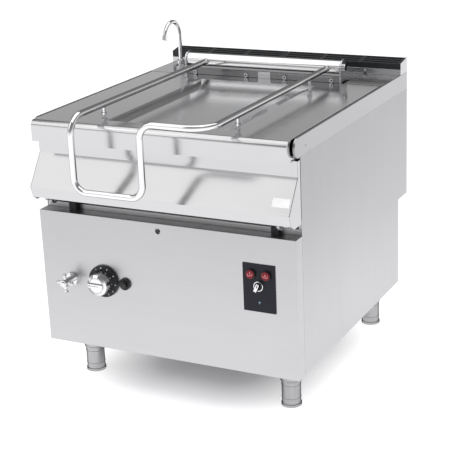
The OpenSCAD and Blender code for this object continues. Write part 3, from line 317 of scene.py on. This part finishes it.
# The two lamps have dark bezels, the selector's stays bright, and its lever stands on a dark disc
lamp_row, selector = span("raise_button").mid.z, span("selector_lever").mid
under_lamps = (lamp_row + selector.z) / 2 * MM
disc_front = at(0, span("switch_bezels").low.y - 0.5, 0).y
darken("switch_bezels", lambda p: p.z > under_lamps)
darken("selector_lever", lambda p: p.y > disc_front)


# Rounded edges
def soften(width, *names):
    """Rounds the sharp edges of solids a little, so that they catch the light as real metal does."""
    same_place = 0.01
    for name in names:
        o = nodes[name]
        weld = o.modifiers.new("weld", "WELD")
        weld.merge_threshold = same_place * MM
        bevel = o.modifiers.new("edge", "BEVEL")
        bevel.width = width * MM
        bevel.segments = 2
        bevel.limit_method = "ANGLE"
        bevel.angle_limit = SHARP
        bevel.harden_normals = True
        smooth = o.modifiers.new("normals", "WEIGHTED_NORMAL")
        smooth.keep_sharp = True


soften(1.2, "lid_shell", "flue_body", "apron_cheeks")
soften(0.8, "front_apron", "left_flue_grille", "right_flue_grille", "hinge_channel", "foot_sleeves",
       "spout_base", "control_knob", "water_valve", "tilt_gearbox", "tilt_motor")
soften(0.6, "control_plate", "dial_plate", "selector_lever", "igniter_body", "igniter_button",
       "hinge_fasteners", "hinge_rod", "lid_posts")


# Small pieces
# The faces of a block with eight corners, the low four first
BLOCK = [(3, 2, 1, 0), (4, 5, 6, 7), (0, 1, 5, 4), (1, 2, 6, 5), (2, 3, 7, 6), (3, 0, 4, 7)]


def piece(name, shape, look, body):
    """A mesh from places in millimetres. It moves with its body and has one of the finishes."""
    corners, faces = shape
    mesh = bpy.data.meshes.new(name)
    mesh.from_pydata([at(*c) for c in corners], [], faces)
    mesh.polygons.foreach_set("use_smooth", [True] * len(mesh.polygons))
    mesh.set_sharp_from_angle(angle=SHARP)
    mesh.materials.append(M[look])
    o = bpy.data.objects.new(name, mesh)
    scene.collection.objects.link(o)
    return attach(o, body)


def spun(centre, axis, outline, steps=48, closed=False):
    """Corners and faces of a turned shape: outline gives (place along the axis, radius) pairs."""
    a = Vector(axis).normalized()
    u = a.orthogonal().normalized()
    v = a.cross(u)
    corners, faces = [], []
    for s, r in outline:
        for k in range(steps):
            w = 2 * math.pi * k / steps
            corners.append(Vector(centre) + a * s + (u * math.cos(w) + v * math.sin(w)) * r)
    rows = len(outline) if closed else len(outline) - 1
    for i in range(rows):
        j = (i + 1) % len(outline)
        for k in range(steps):
            n = (k + 1) % steps
            faces.append((i * steps + k, i * steps + n, j * steps + n, j * steps + k))
    if not closed:
        faces.append(tuple(reversed(range(steps))))
        faces.append(tuple(range((len(outline) - 1) * steps, len(outline) * steps)))
    return corners, faces


def tube_ring(centre, axis, big, small, steps=48):
    """A ring with a round section. big is the ring's radius and small the section's."""
    sides = 10
    turns = [2 * math.pi * k / sides for k in range(sides)]
    outline = [(small * math.sin(w), big + small * math.cos(w)) for w in turns]
    return spun(centre, axis, outline, steps, closed=True)


def screw(centre, axis, r, high):
    """A pan-head screw's head, standing on its seat."""
    return spun(centre, axis, [(0, r), (high * 0.45, r * 0.97), (high * 0.8, r * 0.78), (high, r * 0.4)], 28)


def slab(low, high):
    """A block between two corners."""
    x0, y0, z0 = low
    x1, y1, z1 = high
    corners = [(x0, y0, z0), (x1, y0, z0), (x1, y1, z0), (x0, y1, z0),
               (x0, y0, z1), (x1, y0, z1), (x1, y1, z1), (x0, y1, z1)]
    return corners, BLOCK


def prism(outline, y, thick):
    """A flat shape, given by its x and z, in front of the plane at y."""
    n = len(outline)
    corners = [(x, y, z) for x, z in outline] + [(x, y - thick, z) for x, z in outline]
    faces = [tuple(range(n)), tuple(reversed(range(n, 2 * n)))]
    faces += [(k, n + k, n + (k + 1) % n, (k + 1) % n) for k in range(n)]
    return corners, faces


def merged(shapes):
    """Several shapes as one."""
    corners, faces = [], []
    for c, f in shapes:
        faces += [tuple(k + len(corners) for k in face) for face in f]
        corners += c
    return corners, faces


def printed(outlines, y, thick=0.15):
    """Flat shapes as one thin print in front of the plane at y."""
    return merged([prism(outline, y, thick) for outline in outlines])


def around(x, z, angle, radius):
    """The x and z of a place on a circle, by its angle in degrees."""
    w = math.radians(angle)
    return x + radius * math.cos(w), z + radius * math.sin(w)


def dot(x, z, r, steps=20):
    """A round spot of a sign."""
    return [around(x, z, 360 * k / steps, r) for k in range(steps)]


def stroke(x0, z0, x1, z1, width):
    """A straight stroke of a sign, as four corners."""
    dx, dz = x1 - x0, z1 - z0
    n = width / 2 / math.hypot(dx, dz)
    return [(x0 - dz * n, z0 + dx * n), (x0 + dz * n, z0 - dx * n),
            (x1 + dz * n, z1 - dx * n), (x1 - dz * n, z1 + dx * n)]


def dial_marks(x, z, face):
    """Two spots and five strokes around the knob, in place of figures."""
    spots = [dot(*around(x, z, 97, 43), 2.6), dot(*around(x, z, 122, 43), 1.6)]
    inner, outer, wide = 39.5, 46.5, 2.0
    steps = [stroke(*around(x, z, w, inner), *around(x, z, w, outer), wide) for w in (68, 30, -8, -41, -67)]
    piece("dial_marks", printed(spots + steps, face), "print", "cabinet")


def knob_ribs(x, z):
    """Thin ribs around the knob's skirt, which lean in towards its face."""
    count, start, circle, lean, r, long = 44, -12, 34.6, 0.04, 0.9, 27
    ribs = []
    for k in range(count):
        w = 2 * math.pi * k / count
        out = Vector((math.cos(w), 0, math.sin(w)))
        foot, axis = Vector((x, start, z)) + out * circle, Vector(AHEAD) - out * lean
        ribs.append(spun(foot, axis, [(0, r), (long, r)], 8))
    piece("knob_ribs", merged(ribs), "chrome", "control_knob")


def dial_details():
    """The dial's marks and rounded edge, and the knob's ribs, a dark ring as painted shade in its groove,
    and its pointer.
    """
    dial, grip_face, grip_high = span("dial_plate"), span("control_knob").low.y, 5
    x, z, face = dial.mid.x, dial.mid.z, dial.low.y
    knob_face = grip_face + grip_high
    dial_marks(x, z, face)
    rim = tube_ring((x, face + 0.6, z), BACK, big=dial.half.x - 0.8, small=0.9)
    piece("dial_rim", rim, "black", "cabinet")
    knob_ribs(x, z)
    # a dark ring as painted shade in the groove round the knob's face
    groove = tube_ring((x, knob_face + 0.2, z), BACK, big=23.4, small=0.6)
    piece("knob_face_groove_shade", groove, "dark", "control_knob")
    line = [stroke(x - 23, z, x + 10, z, 1.3), dot(x - 21.5, z, 1.9)]
    piece("knob_pointer", printed(line, grip_face, 0.12), "dark", "control_knob")


def igniter_details():
    """The holder's rounded rim, and the button's domed cap with its groove."""
    holder, button = span("igniter_body"), span("igniter_button").low.y
    x, z = holder.mid.x, holder.mid.z
    cap = [(0, 10.6), (1.2, 9.6), (2.2, 7.0), (2.6, 3.5)]
    piece("igniter_rim", tube_ring((x, holder.low.y, z), BACK, big=15.6, small=1.5), "plastic", "cabinet")
    piece("igniter_cap", spun((x, button + 0.3, z), AHEAD, cap), "plastic", "igniter_button")
    groove = tube_ring((x, button - 1.6, z), BACK, big=5.6, small=0.5)
    piece("igniter_cap_ring", groove, "grey", "igniter_button")


def tap_details():
    """The tap's cap, a black end on its lower arm as painted shade, a collar on each arm and the ring of its
    flange.
    """
    tap = span("tap_handle")
    x, z, front = tap.mid.x, tap.mid.z, tap.low.y
    arm_y, collar_out, flange_y = -34, 13, -4.6
    dome = [(0, 8.4), (1.6, 7.8), (2.9, 5.6), (3.5, 2.6)]
    end_shade = [(0, 3.9), (2.4, 3.4), (2.9, 1.6)]
    piece("tap_cap", spun((x, front + 0.2, z), AHEAD, dome), "chrome", "tap_handle")
    piece("tap_cap_ring", tube_ring((x, front + 0.6, z), BACK, big=8.6, small=0.7), "chrome", "tap_handle")
    # a black end on the lower arm, painted shade on it
    piece("tap_arm_end_shade", spun((x, arm_y, tap.low.z + 0.8), DOWN, end_shade, 24), "plastic", "tap_handle")
    collars = []
    for angle in (0, 90, 180, 270):
        out_x, out_z = around(0, 0, angle, 1)
        centre = (x + collar_out * out_x, arm_y - 0.2, z + collar_out * out_z)
        collars.append(tube_ring(centre, (out_x, 0, out_z), big=4.3, small=0.8, steps=24))
    piece("tap_arm_collars", merged(collars), "chrome", "tap_handle")
    piece("tap_flange_ring", tube_ring((x, flange_y, z), BACK, big=17.6, small=1.0), "chrome", "cabinet")


def pan_sign(x, z, up):
    """A tilted pan and an arrow, for the button that raises it or lets it down."""
    lean = 1 if up else -1
    left, right, line = z - 3.4 - 1.2 * lean, z - 3.4 + 1.2 * lean, 1.5
    tip, tail = (z + 6.8, z - 0.6) if up else (z - 0.6, z + 6.8)
    head = tip - 2.6 * lean
    return [stroke(x - 6.5, left, x + 5.5, right, line),
            stroke(x - 6.5, left, x - 7.6, z + 1.6, line),
            stroke(x + 5.5, right, x + 7.2, z + 1.8, line),
            stroke(x, tail, x, tip - 2 * lean, 1.4),
            [(x - 3, head), (x + 3, head), (x, tip)]]


def lamp_details():
    """A pan with an arrow on each lamp's face, and a rounded edge around it."""
    for name in ("raise_button", "lower_button"):
        button = span(name)
        x, z, face = button.mid.x, button.mid.z, button.low.y
        piece(name + "_sign", printed(pan_sign(x, z, name == "raise_button"), face), "pink", name)
        edge = tube_ring((x, face + 0.5, z), BACK, big=button.half.x - 0.8, small=0.7)
        piece(name + "_edge", edge, "red", name)


def power_sign():
    """A flash low on the plate, under the selector."""
    plate, rise = span("control_plate"), 29
    x, z = plate.mid.x, plate.low.z + rise
    flash = [(1.8, 6.5), (-4.2, -1.0), (-0.4, -1.0), (-2.2, -7.0), (4.2, 1.2), (0.2, 1.2)]
    outline = [(x + dx, z + dz) for dx, dz in flash]
    piece("power_sign", printed([outline], plate.low.y), "blue", "cabinet")


def selector_details():
    """The line on the selector's grip, which points up and a little to the right."""
    lever, grip_angle, long = span("selector_lever"), 25, 10.8
    x, z = lever.mid.x, lever.mid.z
    tip = stroke(x, z, *around(x, z, 90 - grip_angle, long), 2.6)
    piece("selector_pointer", printed([tip], lever.low.y, 0.12), "dark", "selector_lever")


def foot_details():
    """Two rings on each foot, a dark ring over it as painted shade in the gap, and a ring on its sleeve."""
    sleeve = span("foot_sleeves").low.z
    for name in ("front_left_foot", "front_right_foot", "rear_left_foot", "rear_right_foot"):
        x, y = span(name).mid.xy
        rings = [tube_ring((x, y, z), UP, big=29.1, small=0.8) for z in (26, 68)]
        # a dark ring as painted shade in the gap between foot and sleeve
        shade_in_gap = tube_ring((x, y, sleeve - 0.6), UP, big=29.2, small=1.0)
        bead = tube_ring((x, y, sleeve + 4), UP, big=32.0, small=0.9)
        piece(name + "_rings", merged(rings), "foot", name)
        piece(name + "_gap", shade_in_gap, "dark", name)
        piece(name + "_sleeve_ring", bead, "foot", "cabinet")


def spout_details():
    """A ring around the spout's mouth with a dark disc in it as painted shade, its collar and the step of
    its base.
    """
    base = span("spout_base")
    x, y = base.mid.xy
    # the mouth of the tube, which points down and a little ahead, by 15 degrees
    end, tilt = (x, 684.2, 964.0), math.radians(15)
    along = (0, -math.sin(tilt), -math.cos(tilt))
    piece("spout_nozzle_ring", tube_ring(end, along, big=8.0, small=1.1), "chrome", "spout")
    # a dark disc as painted shade inside the tube's mouth
    piece("spout_mouth_shade", spun(end, along, [(0, 7.2), (0.2, 7.0)], 32), "dark", "spout")
    piece("spout_collar", tube_ring((x, y, base.high.z + 1.4), UP, big=8.6, small=1.6), "chrome", "spout")
    step = tube_ring((x, y, base.low.z + 8), UP, big=base.half.x - 1.2, small=1.0)
    piece("spout_base_ring", step, "chrome", "cabinet")


def handle_details():
    """The welds at the rear ends of the handle's two rails, and the rings of the posts under them."""
    rails, posts, lid_top = span("lid_handle"), span("lid_posts"), span("lid_shell").high.z
    rail_r, post_r, weld_y = 9.5, 8, 704.6
    rail_z = rails.high.z - rail_r
    for side, x in (("left", rails.low.x + rail_r), ("right", rails.high.x - rail_r)):
        piece(side + "_rail_weld", tube_ring((x, weld_y, rail_z), BACK, big=9.9, small=1.3), "tube", "lid")
        for end, y in (("front", posts.low.y + post_r), ("rear", posts.high.y - post_r)):
            foot = spun((x, y, lid_top), UP, [(0, 9.6), (1.4, 9.2), (1.9, 7.6)])
            seat = tube_ring((x, y, rail_z - 9.4), UP, big=5.3, small=0.9)
            piece(side + "_" + end + "_post_rings", merged([foot, seat]), "chrome", "lid")


def hinge_details():
    """The rolled ends of the lid's tube, and a nut on each end of the rod in it, with a dark hexagon as
    painted shade of its socket.
    """
    tube, rod, inset = span("hinge_tube"), span("hinge_rod"), 0.8
    y, z = rod.mid.yz
    ends = (tube.low.x + inset, tube.high.x - inset)
    rings = [tube_ring((x, y, z), ACROSS, big=tube.half.y - inset, small=0.9) for x in ends]
    piece("hinge_tube_rings", merged(rings), "tube", "lid")
    for side, sign, x in (("left", -1, rod.low.x), ("right", 1, rod.high.x)):
        axis = (sign, 0, 0)
        piece(side + "_rod_nut", spun((x, y, z), axis, [(-0.4, 11.0), (0, 10.2)], 6), "chrome", "pan")
        # a dark hexagon as painted shade in the nut's socket
        piece(side + "_rod_socket_shade", spun((x, y, z), axis, [(0, 5.2), (0.08, 5.2)], 6), "dark", "pan")


def cross(x, y, z, r, thick=0.06):
    """The cross of a screw seen from the back."""
    arm = r / 5
    return [slab((x - r, y, z - arm), (x + r, y + thick, z + arm)),
            slab((x - arm, y, z - r), (x + arm, y + thick, z + r))]


def rear_details():
    """The blank rating plate and the screws on the low back face."""
    sheet, foil, head, slot = 2, 0.6, 2.4, 0.04
    back = span("rear_panel").low.y + sheet
    piece("rating_plate", slab((-60, back, 330), (60, back + foil, 402)), "label_foil", "cabinet")
    rivets = [screw((x, back + foil, z), BACK, 2.2, 1.0) for x in (-54, 54) for z in (336, 396)]
    piece("rating_plate_rivets", merged(rivets), "chrome", "cabinet")
    spots = [(x, z) for x in (-395, -130, 130, 395) for z in (160, 415)]
    screws = [screw((x, back, z), BACK, 5.0, head) for x, z in spots]
    piece("rear_screws", merged(screws), "chrome", "cabinet")
    # dark crosses on the heads, painted shade in the screws' slots
    slot_shade = [arm for x, z in spots for arm in cross(x, back + head - slot, z, 2.4)]
    piece("rear_screw_slot_shade", merged(slot_shade), "dark", "cabinet")


def hook_details():
    """A small hook with its screw on the flue's front, at the right."""
    face, thick, long = span("flue_body").low.y, 1.6, 8
    low_x, high_x, low_z = 297, 305, 851
    plate = slab((low_x, face - thick, low_z), (high_x, face, low_z + 16))
    shelf = slab((low_x, face - long, low_z), (high_x, face - thick, low_z + 1.4))
    piece("flue_hook", merged([plate, shelf]), "chrome", "cabinet")
    centre = ((low_x + high_x) / 2, face - thick, low_z + 11)
    piece("flue_hook_screw", screw(centre, AHEAD, 2.6, 1.6), "chrome", "cabinet")


def moulding_details():
    """The screw in the hole at the front end of each moulding."""
    seat, y, z = span("right_moulding").low.x + 0.8, 81, 818
    for side, sign in (("left", -1), ("right", 1)):
        head = screw((seat * sign, y, z), (sign, 0, 0), 2.42, 4.6)
        piece(side + "_moulding_screw", head, "chrome", "cabinet")


def label_details():
    """A blank white label on the apron's slope, which runs back by 64 over a rise of 94."""
    low_edge = Vector((391, span("front_apron").low.y, 646))
    slope, out = Vector((0, 64, 94)).normalized(), Vector((0, -94, 64)).normalized()
    half_wide, half_high, middle = 26, 13, low_edge + slope * 37
    corners = []
    for lift in (0.0, 0.2):
        for a, b in ((-1, -1), (1, -1), (1, 1), (-1, 1)):
            corners.append(middle + Vector((a * half_wide, 0, 0)) + slope * b * half_high + out * lift)
    piece("blank_label", (corners, BLOCK), "label", "pan")


def pan_details():
    """Dark hexagons as painted shade in the sockets of the hinge channel's screws, and the level marks on
    the pan's left wall.
    """
    heads, half_row = span("hinge_fasteners"), 278
    # dark hexagons, painted shade in the screws' sockets
    socket_shade = [spun((half_row * share, heads.low.y, heads.mid.z), AHEAD, [(0, 3.2), (0.06, 3.2)], 6)
               for share in (-0.885, -0.2, 0.305, 0.9)]
    piece("channel_screw_socket_shade", merged(socket_shade), "dark", "pan")
    wall, y, thick, line = -368.9, 330, 0.2, 1
    levels = ((650, 34), (680, 22), (710, 34), (740, 22))
    marks = [slab((wall, y, z), (wall + thick, y + long, z + line)) for z, long in levels]
    piece("level_marks", merged(marks), "dark", "pan")


for details in (dial_details, igniter_details, tap_details, lamp_details, power_sign, selector_details,
                foot_details, spout_details, handle_details, hinge_details, moulding_details,
                rear_details, hook_details, label_details, pan_details):
    details()


# Camera
def place_camera():
    """The camera solved from the photograph, with its focal length and shift in the photograph's pixels."""
    focal, side, shift, sensor = 1268, 450, -13, 36
    eye = at(1773, -3007, 1725)
    yaw, pitch, roll = (math.radians(a) for a in (26.86, 17.99, -2.26))
    ahead = Vector((-math.sin(yaw) * math.cos(pitch), math.cos(yaw) * math.cos(pitch), -math.sin(pitch)))
    level = Vector((math.cos(yaw), math.sin(yaw), 0))
    above = level.cross(ahead)
    right = level * math.cos(roll) + above * math.sin(roll)
    up = above * math.cos(roll) - level * math.sin(roll)
    cam = bpy.data.objects.new("camera", bpy.data.cameras.new("camera"))
    scene.collection.objects.link(cam)
    cam.matrix_world = Matrix(((right.x, up.x, -ahead.x, eye.x),
                               (right.y, up.y, -ahead.y, eye.y),
                               (right.z, up.z, -ahead.z, eye.z),
                               (0, 0, 0, 1)))
    cam.data.sensor_width = sensor
    cam.data.lens = focal / side * sensor
    cam.data.shift_x = shift / side
    cam.data.shift_y = shift / side
    cam.data.clip_start = 0.05
    cam.data.clip_end = 60
    scene.camera = cam


place_camera()
scene.view_settings.view_transform = "Standard"


# World, floor and lights
def seen_by_eye(t):
    """1 for camera, glossy and transmission rays, so that metal shows the background too."""
    ray = t.nodes.new("ShaderNodeLightPath")
    one = add(t, "ShaderNodeMath", operation="MAXIMUM")
    both = add(t, "ShaderNodeMath", operation="MAXIMUM")
    t.links.new(ray.outputs["Is Camera Ray"], one.inputs[0])
    t.links.new(ray.outputs["Is Glossy Ray"], one.inputs[1])
    t.links.new(one.outputs[0], both.inputs[0])
    t.links.new(ray.outputs["Is Transmission Ray"], both.inputs[1])
    return both.outputs[0]


def ramp(t, value, stops):
    """A ramp along a value, through (place, colour) stops in order."""
    n = t.nodes.new("ShaderNodeValToRGB")
    elements = n.color_ramp.elements
    for e, (place, colour) in zip(elements, (stops[0], stops[-1])):
        e.position = place
        e.color = (*colour, 1)
    for place, colour in stops[1:-1]:
        elements.new(place).color = (*colour, 1)
    t.links.new(value, n.inputs["Fac"])
    return n.outputs["Color"]


def paint_world():
    """Even light from all round, and for the eye a wall that is white low down and dims as it rises."""
    world = bpy.data.worlds.new("studio")
    scene.world = world
    world.use_nodes = True
    t = world.node_tree
    t.nodes.clear()
    out = t.nodes.new("ShaderNodeOutputWorld")
    seen = add(t, "ShaderNodeBackground", Strength=1.0)
    room = add(t, "ShaderNodeBackground", Color=(0.66, 0.66, 0.67, 1), Strength=1.0)
    coords = t.nodes.new("ShaderNodeTexCoord")
    parts = t.nodes.new("ShaderNodeSeparateXYZ")
    t.links.new(coords.outputs["Generated"], parts.inputs["Vector"])
    tones = ((0.13, 0.75), (0.20, 0.50), (0.30, 0.38), (0.42, 0.26), (0.60, 0.20), (0.80, 0.22))
    stops = [(place, grey(tone, tone * 0.01)) for place, tone in tones]
    wall = ramp(t, parts.outputs["Z"], [(0.08, grey(1, 0)), *stops, (1.0, grey(0.30, 0.01))])
    t.links.new(wall, seen.inputs["Color"])
    pick = t.nodes.new("ShaderNodeMixShader")
    t.links.new(seen_by_eye(t), pick.inputs["Fac"])
    t.links.new(room.outputs["Background"], pick.inputs[1])
    t.links.new(seen.outputs["Background"], pick.inputs[2])
    t.links.new(pick.outputs["Shader"], out.inputs["Surface"])


def area(name, place, target, width, depth, power):
    """A soft light from a rectangle, turned to its target."""
    d = bpy.data.lights.new(name, "AREA")
    d.shape = "RECTANGLE"
    d.size, d.size_y = width, depth
    d.energy = power
    o = bpy.data.objects.new(name, d)
    scene.collection.objects.link(o)
    o.location = place
    o.rotation_mode = "QUATERNION"
    o.rotation_quaternion = (Vector(target) - Vector(place)).to_track_quat("-Z", "Y")


def distance_from_box(t, half):
    """How far a place on the floor is from a flat box around its middle, by the box's half sizes."""
    place = t.nodes.new("ShaderNodeTexCoord")
    folded = add(t, "ShaderNodeVectorMath", operation="ABSOLUTE")
    outside = add(t, "ShaderNodeVectorMath", operation="SUBTRACT")
    outside.inputs[1].default_value = (*half, 0)
    clipped = add(t, "ShaderNodeVectorMath", operation="MAXIMUM")
    clipped.inputs[1].default_value = (0, 0, 0)
    distance = add(t, "ShaderNodeVectorMath", operation="LENGTH")
    t.links.new(place.outputs["Object"], folded.inputs[0])
    t.links.new(folded.outputs[0], outside.inputs[0])
    t.links.new(outside.outputs[0], clipped.inputs[0])
    t.links.new(clipped.outputs[0], distance.inputs[0])
    return distance.outputs["Value"]


def floor_paper_painted_shadow():
    """White paper, whose own glow lifts it for the eye; the glow is weaker under and near the cabinet, a
    painted shadow over the cast one.
    """
    reach_out, half = 6.0, (0.08, 0.12)
    m, t, b = new_material("floor_paper_painted_shadow")
    b.inputs["Roughness"].default_value = 0.8
    b.inputs["Specular IOR Level"].default_value = 0.0
    b.inputs["Base Color"].default_value = (0.50, 0.49, 0.51, 1)
    b.inputs["Emission Color"].default_value = (1, 1, 1, 1)
    far = t.nodes.new("ShaderNodeMapRange")
    far.inputs["From Max"].default_value = reach_out
    t.links.new(distance_from_box(t, half), far.inputs["Value"])
    # painted shadow: the glow is lowest under the cabinet's middle and rises within a few tenths of a metre
    # round it
    tones = ((0, 0.13), (0.016, 0.20), (0.038, 0.52), (0.054, 0.84), (0.1, 0.80), (0.3, 0.62),
             (0.6, 0.75), (1, 0.85))
    glow = ramp(t, far.outputs["Result"], [(place, grey(tone, 0)) for place, tone in tones])
    lift = add(t, "ShaderNodeMath", operation="MULTIPLY")
    t.links.new(glow, lift.inputs[0])
    t.links.new(seen_by_eye(t), lift.inputs[1])
    t.links.new(lift.outputs[0], b.inputs["Emission Strength"])
    return m


paint_world()
area("top", (0.0, 0.2, 4.1), (0, 0.1, 0), width=5.0, depth=4.6, power=78)
area("key", (-2.7, -2.6, 3.4), (0, 0, 0.4), width=3.2, depth=2.8, power=30)

FLOOR = 14
floor_mesh = bpy.data.meshes.new("floor")
floor_mesh.from_pydata([(-FLOOR, -FLOOR, 0), (FLOOR, -FLOOR, 0), (FLOOR, FLOOR, 0), (-FLOOR, FLOOR, 0)],
                       [], [(0, 1, 2, 3)])
floor = bpy.data.objects.new("floor", floor_mesh)
scene.collection.objects.link(floor)
floor.data.materials.append(floor_paper_painted_shadow())
